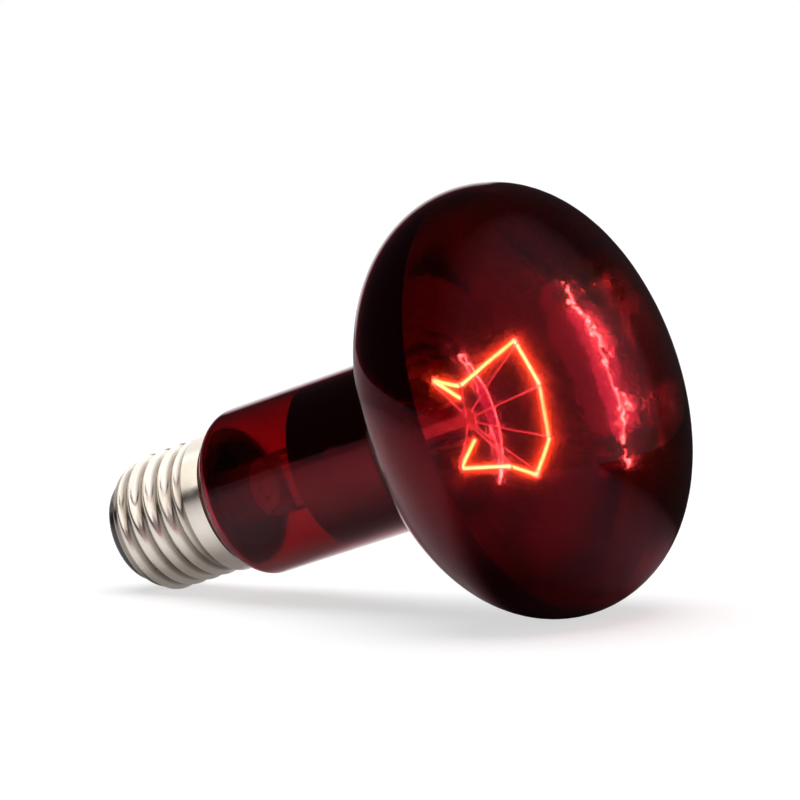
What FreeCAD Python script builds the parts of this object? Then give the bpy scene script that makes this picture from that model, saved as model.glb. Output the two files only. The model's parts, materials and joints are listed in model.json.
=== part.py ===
import FreeCAD, Part

import math
import os

import Sketcher

# Infrared reflector lamp with an Edison screw cap, lying on its bowl and its thread.
# Every piece is drawn about the lamp axis: local Z runs from the cap's tip to the face.

doc = FreeCAD.newDocument("heat_lamp")
sheet = doc.addObject("Spreadsheet::Sheet", "Sizes")

SIZES = {
    # glass envelope, outside sizes and stations from the tip of the cap
    "bowl_diameter": 80.0,
    "bowl_station": 92.7,
    "rim_bend": 17.0,
    "face_radius": 65.0,
    "neck_diameter": 32.1,
    "neck_fillet": 2.5,
    "back_flat": 1.0,
    "shoulder_bend": 3.4,
    "shoulder_land": 0.5,
    "shoulder_gap": 0.9,
    "entry_clearance": 0.85,
    "entry_station": 14.0,
    "seal_taper": 0.8,
    "seal_station": 9.0,
    "seal_height": 1.0,
    "glass_wall": 0.9,
    "film_gap": 0.05,
    "film_thick": 0.1,
    "film_start": 50.0,
    "film_past_rim": 6.0,
    # screw cap
    "cap_height": 27.3,
    "sheet_thick": 0.3,
    "thread_diameter": 26.2,
    "thread_depth": 0.95,
    "thread_pitch": 3.629,
    "thread_start": 6.3,
    "thread_turn": 180.0,
    "thread_runout": 1.8,
    "skirt_height": 3.9,
    "skirt_rise": 0.3,
    "skirt_step": 1.2,
    "lip_land": 0.25,
    "lip_station": 5.2,
    # base insulator and contacts
    "insulator_tip_diameter": 12.6,
    "insulator_seat": 2.6,
    "insulator_wall": 2.6,
    "contact_diameter": 9.8,
    "contact_thick": 0.4,
    "contact_station": 1.2,
    "contact_bore": 1.6,
    "eyelet_diameter": 3.6,
    "eyelet_depth": 2.8,
    "solder_diameter": 6.0,
    "solder_flat": 2.6,
    "solder_bulge": 2.2,
    "side_solder_diameter": 2.4,
    # glass mount inside the neck
    "flare_tube_diameter": 11.0,
    "flare_wall": 1.0,
    "flare_bend": 9.0,
    "flare_height": 6.0,
    "pinch_station": 33.0,
    "pinch_height": 5.0,
    "press_height": 9.0,
    "press_width": 12.0,
    "press_thick": 4.4,
    "exhaust_diameter": 3.8,
    "exhaust_wall": 0.7,
    "exhaust_tip": 6.4,
    "rod_diameter": 2.2,
    "button_diameter": 4.3,
    "button_height": 2.2,
    "button_round": 0.8,
    "button_station": 80.0,
    "mount_turn": 8.0,
    # wires
    "lead_spacing": 7.2,
    "lead_diameter": 0.7,
    "lead_sunk": 2.0,
    "seal_wire_diameter": 0.4,
    "outer_lead_diameter": 0.4,
    "lead_tail": 0.9,
    "lead_bend": 0.6,
    "outer_lead_bend": 1.0,
    "centre_lead_bow": 2.1,
    "centre_lead_rise": 0.6,
    "rim_lead_reach": 0.5,
    "side_lead_bend": 0.35,
    "side_lead_turn": 100.0,
    "support_diameter": 0.3,
    "support_sunk": 1.2,
    "coil_diameter": 0.7,
    "coil_bend": 0.8,
    "hook_clearance": 0.16,
    "wire_clearance": 0.05,
    "ring_station": 88.0,
    "ring_diameter": 27.0,
}

for row, (alias, value) in enumerate(SIZES.items(), start=1):
    sheet.set("A%d" % row, alias)
    sheet.set("B%d" % row, str(value))
    sheet.setAlias("B%d" % row, alias)
doc.recompute()


def size(alias):
    return float(sheet.get(alias))


def worth(expression):
    return float(sheet.evalExpression(expression))


def originPlane(body, role):
    for feature in body.Origin.OriginFeatures:
        if feature.Role == role:
            return feature
    raise RuntimeError("no plane " + role)


def profileSketch(body, name, corners, bends):
    """Closed half-section (radius, station) whose corners and bends follow the sheet."""
    sketch = body.newObject("Sketcher::SketchObject", name)
    sketch.AttachmentSupport = [(originPlane(body, "XZ_Plane"), "")]
    sketch.MapMode = "FlatFace"
    spots = [FreeCAD.Vector(worth(r), worth(z), 0) for r, z in corners]
    count = len(spots)
    first = []
    for i, start in enumerate(spots):
        end = spots[(i + 1) % count]
        if i in bends:
            edge = bendBetween(start, end, worth(bends[i][0]), bends[i][1])
        else:
            edge = Part.LineSegment(start, end)
        sketch.addGeometry(edge, False)
        # an arc always runs anticlockwise, so its start may be the far end
        turned = i in bends and not bends[i][1]
        first.append(2 if turned else 1)
    for i in range(count):
        after = (i + 1) % count
        sketch.addConstraint(Sketcher.Constraint("Coincident", i, 3 - first[i], after, first[after]))
    for i, (r, z) in enumerate(corners):
        for axis, expression, value in (("X", r, spots[i].x), ("Y", z, spots[i].y)):
            number = sketch.addConstraint(
                Sketcher.Constraint("Distance" + axis, -1, 1, i, first[i], value))
            sketch.setExpression("Constraints[%d]" % number, expression)
    for i, (radius, anticlockwise) in bends.items():
        number = sketch.addConstraint(Sketcher.Constraint("Radius", i, worth(radius)))
        sketch.setExpression("Constraints[%d]" % number, radius)
    return sketch


def bendBetween(start, end, radius, anticlockwise):
    """The short arc of a radius from start to end, as a sketch arc."""
    chord = end - start
    middle = (start + end) / 2
    rise = math.sqrt(max(radius ** 2 - (chord.Length / 2) ** 2, 0.0))
    side = FreeCAD.Vector(-chord.y, chord.x, 0).normalize()
    centre = middle + side * (rise if anticlockwise else -rise)
    angles = [math.atan2(p.y - centre.y, p.x - centre.x) for p in (start, end)]
    if not anticlockwise:
        angles.reverse()
    if angles[1] < angles[0]:
        angles[1] += 2 * math.pi
    circle = Part.Circle(centre, FreeCAD.Vector(0, 0, 1), radius)
    return Part.ArcOfCircle(circle, angles[0], angles[1])


def turnedBody(name, corners, bends=None, kind="PartDesign::Revolution", body=None):
    """A body turned about the lamp axis, or a turned groove in one that exists."""
    if body is None:
        body = doc.addObject("PartDesign::Body", name)
    sketch = profileSketch(body, name + "_profile_%d" % len(body.Group), corners, bends or {})
    turned = body.newObject(kind, name + "_turned_%d" % len(body.Group))
    turned.Profile = sketch
    turned.ReferenceAxis = (sketch, ["V_Axis"])
    turned.Angle = 360
    return body


def placedCopy(name, shape):
    piece = doc.addObject("Part::Feature", name)
    piece.Shape = shape
    return piece


def tube(points, bend, radius):
    """Round wire along straight runs joined by tangent arcs."""
    edges = []
    start = points[0]
    for before, corner, after in zip(points, points[1:], points[2:]):
        come = (corner - before).normalize()
        go = (after - corner).normalize()
        half = come.getAngle(go) / 2
        reach = bend * math.tan(half)
        arcStart = corner - come * reach
        arcEnd = corner + go * reach
        edges.append(Part.makeLine(start, arcStart))
        edges.append(Part.Arc(arcStart, bendMiddle(before, corner, after, bend), arcEnd).toShape())
        start = arcEnd
    edges.append(Part.makeLine(start, points[-1]))
    return sweptRound(edges, radius)


def bendMiddle(before, corner, after, bend):
    """The middle of the arc that rounds a corner."""
    come = (corner - before).normalize()
    go = (after - corner).normalize()
    half = come.getAngle(go) / 2
    inward = (go - come).normalize()
    return corner + inward * (bend / math.cos(half) - bend)


def sweptRound(edges, radius):
    path = Part.Wire(edges)
    tangent = edges[0].tangentAt(edges[0].FirstParameter)
    section = Part.Wire([Part.makeCircle(radius, edges[0].valueAt(edges[0].FirstParameter), tangent)])
    return path.makePipeShell([section], True, False)


def polar(radius, degrees, station):
    turn = math.radians(degrees + size("mount_turn"))
    return FreeCAD.Vector(radius * math.cos(turn), radius * math.sin(turn), station)


# Screw cap outlines that the glass and the insulator are fitted to.
THREAD_ROOT = "(Sizes.thread_diameter / 2 - Sizes.thread_depth)"
THREAD_BORE = "(Sizes.thread_diameter / 2 - Sizes.thread_depth - Sizes.sheet_thick)"
THREAD_END = "(Sizes.cap_height - Sizes.skirt_height - Sizes.skirt_step)"
SKIRT_BASE = "(Sizes.cap_height - Sizes.skirt_height)"
SKIRT = "(Sizes.thread_diameter / 2 + Sizes.skirt_rise)"
LIP_BEND = "(Sizes.thread_start - Sizes.lip_station)"
LIP = "(%s - %s - Sizes.lip_land)" % (THREAD_ROOT, LIP_BEND)

# Glass envelope: one blown reflector bulb with a flat back and a domed face.
NECK = "Sizes.neck_diameter / 2"
BACK_SPAN = "(Sizes.bowl_diameter - Sizes.neck_diameter) / 2 - Sizes.neck_fillet - Sizes.back_flat"
RIM = "min(Sizes.rim_bend; %s)" % BACK_SPAN
BACK = "(Sizes.bowl_station - %s)" % RIM
BEND_AXIS = "(Sizes.bowl_diameter / 2 - %s)" % RIM
FACE_SPAN = "(Sizes.face_radius - %s)" % RIM
FACE_DROP = "sqrt(%s^2 - %s^2)" % (FACE_SPAN, BEND_AXIS)
FACE_CENTRE = "(Sizes.bowl_station - %s)" % FACE_DROP
ENTRY = "(%s - Sizes.entry_clearance)" % THREAD_BORE
SEAL = "(%s - Sizes.seal_taper)" % ENTRY
SHOULDER = "(Sizes.cap_height + Sizes.shoulder_gap)"
SHOULDER_BEND = "min(Sizes.shoulder_bend; %s - %s - Sizes.shoulder_land)" % (NECK, ENTRY)


def envelopeCorners(inset):
    face = "(Sizes.face_radius - %s)" % inset
    return [
        ("0", "Sizes.seal_station"),
        (SEAL + " - " + inset, "Sizes.seal_station"),
        (SEAL + " - " + inset, "Sizes.seal_station + Sizes.seal_height"),
        (ENTRY + " - " + inset, "Sizes.entry_station"),
        (ENTRY + " - " + inset, SHOULDER + " + " + inset),
        (NECK + " - " + SHOULDER_BEND, SHOULDER + " + " + inset),
        (NECK + " - " + inset, SHOULDER + " + " + SHOULDER_BEND),
        (NECK + " - " + inset, BACK + " - Sizes.neck_fillet"),
        (NECK + " + Sizes.neck_fillet", BACK + " + " + inset),
        (BEND_AXIS, BACK + " + " + inset),
        ("%s * %s / %s" % (face, BEND_AXIS, FACE_SPAN),
         "%s + %s * %s / %s" % (FACE_CENTRE, face, FACE_DROP, FACE_SPAN)),
        ("0", FACE_CENTRE + " + " + face),
    ]


def envelopeBends(inset):
    return {
        5: (SHOULDER_BEND + " - " + inset, True),
        7: ("Sizes.neck_fillet + " + inset, False),
        9: (RIM + " - " + inset, True),
        10: ("Sizes.face_radius - " + inset, True),
    }


envelope = turnedBody("glass_envelope", envelopeCorners("0"), envelopeBends("0"))
doc.recompute()
turnedBody("glass_envelope", envelopeCorners("Sizes.glass_wall"), envelopeBends("Sizes.glass_wall"),
           "PartDesign::Groove", envelope)

# Mirror film: evaporated metal on the inside of the glass, from halfway down the neck
# over the bowl's flat back to just past the widest circle.
FILM_SEAT = "(Sizes.glass_wall + Sizes.film_gap)"
FILM_BACK = "(Sizes.glass_wall + Sizes.film_gap + Sizes.film_thick)"
PAST_SINE = "sin(Sizes.film_past_rim * 1deg)"
PAST_COSINE = "cos(Sizes.film_past_rim * 1deg)"


def filmCorners(inset):
    bend = "(%s - %s)" % (RIM, inset)
    return [
        (NECK + " - " + inset, "Sizes.film_start"),
        (NECK + " - " + inset, BACK + " - Sizes.neck_fillet"),
        (NECK + " + Sizes.neck_fillet", BACK + " + " + inset),
        (BEND_AXIS, BACK + " + " + inset),
        ("%s + %s * %s" % (BEND_AXIS, bend, PAST_COSINE),
         "Sizes.bowl_station + %s * %s" % (bend, PAST_SINE)),
    ]


film = turnedBody(
    "reflector_film",
    filmCorners(FILM_SEAT) + filmCorners(FILM_BACK)[::-1],
    {
        1: ("Sizes.neck_fillet + " + FILM_SEAT, False),
        3: (RIM + " - " + FILM_SEAT, True),
        5: (RIM + " - " + FILM_BACK, False),
        7: ("Sizes.neck_fillet + " + FILM_BACK, True),
    },
)

# Glass mount: flared tube pinched to a flat press, exhaust tube below, button rod above.
FLARE_RIM = SEAL + " - Sizes.glass_wall"
FLARE_OUT = "Sizes.flare_tube_diameter / 2"
FLARE_IN = "(Sizes.flare_tube_diameter / 2 - Sizes.flare_wall)"
FLARE_TOP = "Sizes.seal_station + Sizes.seal_height + Sizes.flare_height"
PRESS_BASE = "Sizes.pinch_station + Sizes.pinch_height"
PRESS_TOP = "Sizes.pinch_station + Sizes.pinch_height + Sizes.press_height"
flare = turnedBody(
    "flare_tube",
    [
        (FLARE_RIM + " - Sizes.flare_wall", "Sizes.seal_station"),
        (FLARE_RIM, "Sizes.seal_station"),
        (FLARE_RIM, "Sizes.seal_station + Sizes.seal_height"),
        (FLARE_OUT, FLARE_TOP),
        (FLARE_OUT, "Sizes.pinch_station"),
        (FLARE_IN, "Sizes.pinch_station"),
        (FLARE_IN, FLARE_TOP),
    ],
    {2: ("Sizes.flare_bend", False), 6: ("Sizes.flare_bend + Sizes.flare_wall", True)},
)


def ring(name, kind, station, **radii):
    edge = doc.addObject(kind, name)
    for field, expression in radii.items():
        edge.setExpression(field, expression)
    edge.setExpression("Placement.Base.z", station)
    edge.setExpression("Placement.Rotation.Angle", "Sizes.mount_turn")
    edge.Placement.Rotation.Axis = FreeCAD.Vector(0, 0, 1)
    return edge


pinchFoot = ring("pinch_foot", "Part::Circle", "Sizes.pinch_station",
                 Radius="Sizes.flare_tube_diameter / 2")
pinchHead = ring("pinch_head", "Part::Ellipse", PRESS_BASE,
                 MajorRadius="Sizes.press_width / 2", MinorRadius="Sizes.press_thick / 2")
pinch = doc.addObject("Part::Loft", "pinch")
pinch.Sections = [pinchFoot, pinchHead]
pinch.Solid = True
pinch.Ruled = True
press = doc.addObject("Part::Extrusion", "press")
press.Base = pinchHead
press.Dir = FreeCAD.Vector(0, 0, 1)
press.Solid = True
press.setExpression("LengthFwd", "Sizes.press_height")
stemBlank = doc.addObject("Part::MultiFuse", "stem_blank")
stemBlank.Shapes = [flare, pinch, press]

exhaust = turnedBody(
    "exhaust_tube",
    [
        ("0", "Sizes.exhaust_tip"),
        ("Sizes.exhaust_diameter / 2", "Sizes.exhaust_tip + Sizes.exhaust_diameter / 2"),
        ("Sizes.exhaust_diameter / 2", "Sizes.pinch_station"),
        ("Sizes.exhaust_diameter / 2 - Sizes.exhaust_wall", "Sizes.pinch_station"),
        ("Sizes.exhaust_diameter / 2 - Sizes.exhaust_wall",
         "Sizes.exhaust_tip + Sizes.exhaust_diameter / 2"),
        ("0", "Sizes.exhaust_tip + Sizes.exhaust_wall"),
    ],
    {0: ("Sizes.exhaust_diameter / 2", True),
     4: ("Sizes.exhaust_diameter / 2 - Sizes.exhaust_wall", False)},
)

BUTTON_FOOT = "Sizes.button_station - Sizes.button_height / 2"
BUTTON_HEAD = "Sizes.button_station + Sizes.button_height / 2"
BUTTON_RIM = "Sizes.button_diameter / 2"
rodBlank = turnedBody(
    "rod_blank",
    [
        ("0", PRESS_TOP),
        ("Sizes.rod_diameter / 2", PRESS_TOP),
        ("Sizes.rod_diameter / 2", BUTTON_FOOT),
        (BUTTON_RIM + " - Sizes.button_round", BUTTON_FOOT),
        (BUTTON_RIM, BUTTON_FOOT + " + Sizes.button_round"),
        (BUTTON_RIM, BUTTON_HEAD + " - Sizes.button_round"),
        (BUTTON_RIM + " - Sizes.button_round", BUTTON_HEAD),
        ("0", BUTTON_HEAD),
    ],
    {3: ("Sizes.button_round", True), 5: ("Sizes.button_round", True)},
)
doc.recompute()

# Filament: a coil hung on eight hooks, in a ring that dips to the two lead wires.
# Each hook has its angle round the axis, then how far it stands out of the ring and above
# it, as shares of the ring's radius.
HOOKS = [
    (-48.0, -0.15, -0.59),
    (-27.0, -0.16, 0.0),
    (11.0, 0.015, 0.0),
    (52.0, 0.01, 0.0),
    (96.0, 0.015, 0.015),
    (143.0, -0.015, 0.12),
    (240.0, -0.075, -0.075),
    (220.0, -0.155, -0.59),
]
HOOK_TIP = 130.0
pressTop = worth(PRESS_TOP)
leadRadius = size("lead_spacing") / 2
coilRadius = size("coil_diameter") / 2
supportRadius = size("support_diameter") / 2
ringRadius = size("ring_diameter") / 2
hookCorners = [
    polar(ringRadius * (1 + out), degrees, size("ring_station") + ringRadius * rise)
    for degrees, out, rise in HOOKS
]
leadTops = [polar(leadRadius, degrees, size("button_station")) for degrees in (0.0, 180.0)]
coilEnds = []
for top, corner in zip(leadTops, (hookCorners[0], hookCorners[-1])):
    leg = (corner - top).normalize()
    coilEnds.append(top + leg * size("lead_tail"))
route = [coilEnds[0]] + hookCorners + [coilEnds[1]]
filament = placedCopy("filament", tube(route, size("coil_bend"), coilRadius))

innerLeads = []
sealWires = []
for number, (top, end) in enumerate(zip(leadTops, coilEnds), start=1):
    foot = FreeCAD.Vector(top.x, top.y, pressTop - size("lead_sunk"))
    bottom = FreeCAD.Vector(top.x, top.y, size("pinch_station"))
    lead = tube([foot, top, end], size("lead_bend"), size("lead_diameter") / 2)
    innerLeads.append(placedCopy("inner_lead_%d" % number, lead))
    sealWire = tube([bottom, foot], 0, size("seal_wire_diameter") / 2)
    sealWires.append(placedCopy("seal_wire_%d" % number, sealWire))


def supportWire(before, corner, after, degrees):
    """A straight wire out of the button that ends in a hook round the coil."""
    centre = bendMiddle(before, corner, after, size("coil_bend"))
    foot = polar(size("button_diameter") / 2 - size("support_sunk"), degrees, size("button_station"))
    outward = (centre - foot).normalize()
    along = (after - before).normalize()
    normal = (along - outward * along.dot(outward)).normalize()
    side = normal.cross(outward)
    loop = coilRadius + size("hook_clearance") + supportRadius
    lean = math.acos(loop / (centre - foot).Length)

    def onLoop(angle):
        return centre + (outward * math.cos(angle) + side * math.sin(angle)) * loop

    touch = lean - math.pi
    tip = math.radians(HOOK_TIP)
    straight = Part.makeLine(foot, onLoop(touch))
    hook = Part.Arc(onLoop(touch), onLoop((touch + tip) / 2), onLoop(tip)).toShape()
    return sweptRound([straight, hook], supportRadius)


supports = []
for number, (degrees, out, rise) in enumerate(HOOKS, start=1):
    wire = supportWire(route[number - 1], route[number], route[number + 1], degrees)
    supports.append(placedCopy("support_wire_%d" % number, wire))

# Screw cap: thin rolled shell, black glass base, brass eyelet, solder and cement.
lip = turnedBody(
    "shell_lip",
    [
        (THREAD_ROOT, "Sizes.thread_start"),
        (THREAD_BORE, "Sizes.thread_start"),
        (THREAD_ROOT + " - " + LIP_BEND, "Sizes.lip_station + Sizes.sheet_thick"),
        (LIP, "Sizes.lip_station + Sizes.sheet_thick"),
        (LIP, "Sizes.lip_station"),
        (THREAD_ROOT + " - " + LIP_BEND, "Sizes.lip_station"),
    ],
    {1: (LIP_BEND + " - Sizes.sheet_thick", False), 5: (LIP_BEND, True)},
)
skirt = turnedBody(
    "shell_skirt",
    [
        (THREAD_BORE, THREAD_END),
        (THREAD_ROOT, THREAD_END),
        (SKIRT, SKIRT_BASE),
        (SKIRT, "Sizes.cap_height"),
        (SKIRT + " - Sizes.sheet_thick", "Sizes.cap_height"),
        (SKIRT + " - Sizes.sheet_thick", SKIRT_BASE),
    ],
)


threadEnd = worth(THREAD_END)
threadLength = threadEnd - size("thread_start")
THREAD_BANDS = 8


def threadSwell(station):
    """Half the thread's depth at a station, easing in and out over the run-out."""
    swell = size("thread_depth") / 2
    for distance in (station - size("thread_start"), threadEnd - station):
        share = min(max(distance / size("thread_runout"), 0.0), 1.0)
        swell *= share * share * (3 - 2 * share)
    return swell


def threadAngle(station):
    turns = (station - size("thread_start")) / size("thread_pitch")
    return 2 * math.pi * turns + math.radians(size("thread_turn"))


def threadCore(inset):
    """Rolled thread as a stack of circles whose centres wind round the axis."""
    root = worth(THREAD_ROOT) - inset
    count = round(threadLength / size("thread_pitch") * THREAD_BANDS)
    rings = []
    for i in range(count + 1):
        station = size("thread_start") + threadLength * i / count
        swell = threadSwell(station)
        angle = threadAngle(station)
        centre = FreeCAD.Vector(swell * math.cos(angle), swell * math.sin(angle), station)
        rings.append(Part.Wire([Part.makeCircle(root + swell, centre, FreeCAD.Vector(0, 0, 1))]))
    return Part.makeLoft(rings, True, True)


thread = placedCopy("shell_thread", threadCore(0.0).cut(threadCore(size("sheet_thick"))))
shell = doc.addObject("Part::MultiFuse", "screw_shell")
shell.Shapes = [lip, thread, skirt]

INSULATOR_TIP = "Sizes.contact_station + Sizes.contact_thick"
insulator = turnedBody(
    "cap_insulator",
    [
        ("Sizes.eyelet_diameter / 2", INSULATOR_TIP),
        ("Sizes.insulator_tip_diameter / 2", INSULATOR_TIP),
        (LIP, "Sizes.lip_station"),
        (LIP, "Sizes.lip_station + Sizes.insulator_seat"),
        (LIP + " - Sizes.insulator_wall", "Sizes.lip_station + Sizes.insulator_seat"),
        ("Sizes.insulator_tip_diameter / 2 - Sizes.insulator_wall / 2",
         INSULATOR_TIP + " + Sizes.eyelet_depth"),
        ("Sizes.eyelet_diameter / 2", INSULATOR_TIP + " + Sizes.eyelet_depth"),
    ],
)
contact = turnedBody(
    "centre_contact",
    [
        ("Sizes.contact_bore / 2", "Sizes.contact_station"),
        ("Sizes.contact_diameter / 2", "Sizes.contact_station"),
        ("Sizes.contact_diameter / 2", INSULATOR_TIP),
        ("Sizes.eyelet_diameter / 2", INSULATOR_TIP),
        ("Sizes.eyelet_diameter / 2", INSULATOR_TIP + " + Sizes.eyelet_depth"),
        ("Sizes.contact_bore / 2", INSULATOR_TIP + " + Sizes.eyelet_depth"),
    ],
)
solder = turnedBody(
    "centre_solder",
    [
        ("0", "0"),
        ("Sizes.solder_flat / 2", "0"),
        ("Sizes.solder_diameter / 2", "Sizes.contact_station"),
        ("0", "Sizes.contact_station"),
    ],
    {1: ("Sizes.solder_bulge", True)},
)
cementBlank = turnedBody(
    "cement_blank",
    [
        (ENTRY, SKIRT_BASE),
        (SKIRT + " - Sizes.sheet_thick", SKIRT_BASE),
        (SKIRT + " - Sizes.sheet_thick", "Sizes.cap_height"),
        (ENTRY, "Sizes.cap_height"),
    ],
)
doc.recompute()

# Copper outer leads: one runs down the eyelet, the other up beside the glass to the rim.
outerRadius = size("outer_lead_diameter") / 2
pinchStation = size("pinch_station")
eyeletTop = worth(INSULATOR_TIP) + size("eyelet_depth")
centreRoute = [
    polar(leadRadius, 0.0, pinchStation),
    polar(leadRadius, 0.0, size("exhaust_tip") + size("centre_lead_bow")),
    FreeCAD.Vector(0, 0, eyeletTop + size("centre_lead_rise")),
    FreeCAD.Vector(0, 0, size("contact_station")),
]
centreLead = placedCopy("outer_lead_1", tube(centreRoute, size("outer_lead_bend"), outerRadius))
insulatorTop = size("lip_station") + size("insulator_seat")
under = (insulatorTop + size("seal_station")) / 2
entry = worth(ENTRY)
beside = (entry + worth(THREAD_BORE)) / 2
skirtRadius = worth(SKIRT)
inCement = (entry + skirtRadius - size("sheet_thick")) / 2
overRim = size("cap_height") + outerRadius + size("wire_clearance")
pastRim = skirtRadius + size("rim_lead_reach")
sideTurn = size("side_lead_turn")
sideRoute = [
    polar(leadRadius, 180.0, pinchStation),
    polar(leadRadius, 180.0, under),
    polar(beside, sideTurn, under),
    polar(beside, sideTurn, threadEnd),
    polar(inCement, sideTurn, worth(SKIRT_BASE)),
    polar(inCement, sideTurn, overRim),
    polar(pastRim, sideTurn, overRim),
    polar(pastRim, sideTurn, size("cap_height") - size("side_solder_diameter") / 2),
]
sideLead = placedCopy("outer_lead_2", tube(sideRoute, size("side_lead_bend"), outerRadius))


def without(name, blank, shapes):
    """The blank less the shapes that lie in it."""
    cutter = placedCopy(name + "_cutter", Part.makeCompound(shapes))
    cut = doc.addObject("Part::Cut", name)
    cut.Base = blank
    cut.Tool = cutter
    return cut


solderBall = doc.addObject("Part::Sphere", "solder_ball")
solderBall.setExpression("Radius", "Sizes.side_solder_diameter / 2")
# the ball's pole points away from the lamp axis, so the cut goes once round it
solderBall.Placement = FreeCAD.Placement(
    polar(skirtRadius, sideTurn, size("cap_height") - size("side_solder_diameter") / 4),
    FreeCAD.Rotation(FreeCAD.Vector(0, 0, 1), polar(1.0, sideTurn, 0.0)),
)
supportShapes = [wire.Shape for wire in supports]
stem = without("stem", stemBlank, [wire.Shape for wire in innerLeads + sealWires])
rod = without("arbor_rod", rodBlank, supportShapes)
cement = without("basing_cement", cementBlank, [sideLead.Shape])
capCore = Part.makeCylinder(skirtRadius, size("cap_height"))
solderSeat = without("solder_seat", solderBall, [capCore])
sideSolder = without("side_solder", solderSeat, [sideLead.Shape])
doc.recompute()


# The lamp lies on the bend of its bowl and on a thread crest, which sets the axis's tilt.
TILT_STEPS = 400
rimBend = worth(RIM)


def lyingTilt():
    bendAxis = worth(BEND_AXIS)
    root = worth(THREAD_ROOT)
    tilts = []
    for step in range(TILT_STEPS + 1):
        station = size("thread_start") + threadLength * step / TILT_STEPS
        swell = threadSwell(station)
        under = root + swell + swell * math.cos(threadAngle(station))
        away = size("bowl_station") - station
        drop = bendAxis - under
        tilts.append(math.atan2(drop, away) + math.asin(rimBend / math.hypot(away, drop)))
    return min(tilts)


tilt = lyingTilt()
faceEnd = worth(FACE_CENTRE) * math.cos(tilt) + size("face_radius")
capEnd = min(
    worth(INSULATOR_TIP) * math.cos(tilt) - size("insulator_tip_diameter") / 2 * math.sin(tilt),
    size("contact_station") * math.cos(tilt) - size("contact_diameter") / 2 * math.sin(tilt),
    -size("solder_flat") / 2 * math.sin(tilt),
)
bowlSink = worth(BEND_AXIS) * math.cos(tilt) + rimBend - size("bowl_station") * math.sin(tilt)
lying = FreeCAD.Placement(
    FreeCAD.Vector(-(faceEnd + capEnd) / 2, 0, bowlSink),
    FreeCAD.Rotation(FreeCAD.Vector(0, 1, 0), 90 - math.degrees(tilt)),
)

pieces = [envelope, film, stem, exhaust, rod, filament, shell, insulator, contact, solder,
          cement, sideSolder, centreLead, sideLead]
pieces += innerLeads + sealWires + supports
for piece in pieces:
    piece.Placement = lying
doc.recompute()

for thing in doc.Objects:
    if "Invalid" in thing.State or "Error" in thing.State:
        raise RuntimeError("failed: " + thing.Label)
for piece in pieces:
    solid = piece.Shape
    if solid.isNull() or not solid.isValid() or len(solid.Solids) != 1:
        raise RuntimeError("bad solid: " + piece.Label)

os.makedirs("parts", exist_ok=True)
for piece in pieces:
    piece.Shape.exportStep("parts/%s.step" % piece.Label)
print("%d pieces, tilt %.3f degrees" % (len(pieces), math.degrees(tilt)))
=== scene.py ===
import json
import math

import bpy
from mathutils import Matrix, Vector


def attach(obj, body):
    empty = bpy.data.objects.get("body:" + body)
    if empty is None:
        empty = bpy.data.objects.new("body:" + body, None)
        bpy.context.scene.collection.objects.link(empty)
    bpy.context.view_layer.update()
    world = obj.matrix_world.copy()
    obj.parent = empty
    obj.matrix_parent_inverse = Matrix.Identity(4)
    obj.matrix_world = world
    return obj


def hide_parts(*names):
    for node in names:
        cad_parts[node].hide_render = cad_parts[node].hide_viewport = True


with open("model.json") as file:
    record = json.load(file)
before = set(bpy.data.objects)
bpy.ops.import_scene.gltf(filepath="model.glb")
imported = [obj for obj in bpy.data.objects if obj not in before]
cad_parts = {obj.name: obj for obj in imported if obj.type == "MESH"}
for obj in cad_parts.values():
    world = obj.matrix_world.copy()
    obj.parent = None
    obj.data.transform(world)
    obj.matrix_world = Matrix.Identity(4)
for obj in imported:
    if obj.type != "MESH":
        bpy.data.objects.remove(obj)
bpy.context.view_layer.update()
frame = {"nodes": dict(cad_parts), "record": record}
mm = 0.001
weld = 0.002 * mm   # mesh points closer than this are one point

# The lamp's own frame: Z runs from the cap's tip to the face, X points down, Y away from the camera.
capMount = next(m for m in frame["record"]["mounts"] if m["name"] == "centre_contact_face")
lampTip = Vector(capMount["pos_m"])
lampAxis = -Vector(capMount["axis"])
lampDown = Vector((0, 1, 0)).cross(lampAxis)
lampPlace = Matrix((lampDown, (0, 1, 0), lampAxis)).transposed().to_4x4()
lampPlace.translation = lampTip

bulb = {
    "bowlRadius": 39.97,   # a hair inside the facets of the CAD glass
    "bowlStation": 92.7,
    "rimBend": 17.0,
    "faceRadius": 65.0,
    "neckRadius": 16.05,
    "neckFillet": 2.5,
    "shoulderBend": 3.4,
    "shoulderStation": 28.2,
    "entryRadius": 11.0,
    "entryStation": 14.0,
    "sealRadius": 10.2,
    "sealStation": 9.0,
    "sealHeight": 1.0,
    "wall": 0.9,
    "steps": 160,
    "bendSteps": 8,
    "rimSteps": 32,
    "faceSteps": 24,
    "tint": (0.45, 0.014, 0.045, 1),
    "ior": 1.47,
    "outside": (0.0, 0.03),   # roughness of each face of the wall, and how fine its pattern is
    "outsideScale": 90.0,
    "inside": (-0.2, 0.34),   # below zero the face is clear, the rest frosts it finely
    "insideScale": 20000.0,
    "wave": 0.02,
    "edgeTint": (0.06, 0.002, 0.004, 1),   # what a slanting look through the wall leaves
    "edgeBlend": 0.3,
    "shine": (0.6, 0.25, 0.32, 1),
}

film = {
    "gap": 0.05,
    "thick": 0.1,
    "start": 50.0,
    "pastRim": 6.0,
    "rimSteps": 28,
    "colour": (0.7, 0.66, 0.66, 1),
    "dull": (0.45, 0.41, 0.41, 1),
    "backShade": (0.44, 0.4, 0.4, 1),   # the side that the glass covers, a darker copy of the mirror as painted shade
    "backShadeDull": (0.3, 0.27, 0.27, 1),
    "roughness": (0.0, 0.06),
    "ripple": 0.8,
}

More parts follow.
